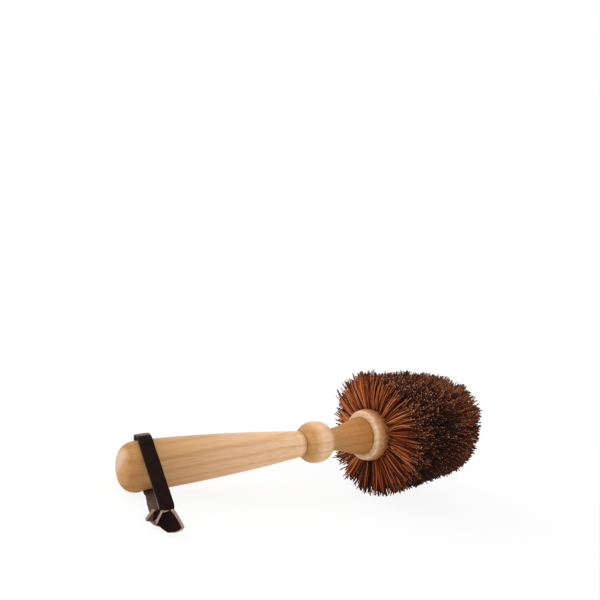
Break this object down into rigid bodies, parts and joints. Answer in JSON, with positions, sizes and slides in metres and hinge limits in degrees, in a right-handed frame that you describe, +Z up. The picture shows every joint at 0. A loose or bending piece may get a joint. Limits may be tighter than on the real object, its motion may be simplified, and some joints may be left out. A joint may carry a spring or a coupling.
{
  "type": "flowerpot brush",
  "caption": "Hand brush for scrubbing flowerpots: turned wooden handle with a ball above its neck, round head of stiff plant fibre and a knotted leather hanging thong.",
  "frame": {"origin": "centre of the brush's bounding box on the floor, without the thong", "axes": "the brush lies on its butt and its fibres; +X points from the butt to the head, +Z is up"},
  "size_m": [0.2752, 0.0986, 0.0895],
  "materials": {
    "handle_wood": "satin, fine turned grain",
    "block_wood": "bare, turned",
    "plant_fibre": "coarse matt fibre, cut ends",
    "thong_leather": "smooth dark face, paler cut edges"
  },
  "bodies": {
    "brush": {"handle": "handle_wood", "brush_block": "block_wood", "fibre_rows_at_collar": "plant_fibre", "fibre_rows_in_middle": "plant_fibre", "fibre_rows_at_front": "plant_fibre", "fibre_at_end": "plant_fibre"},
    "thong": {"thong_loop": "thong_leather", "thong_knot": "thong_leather"}
  },
  "joints": [
    {"name": "thong_swing", "type": "hinge", "parent": "brush", "child": "thong", "pos_m": [-0.12048, 0.00003, 0.0147], "axis": [-0.1361, 0.5, 0.8553], "range_deg": [-165, 25]}
  ]
}
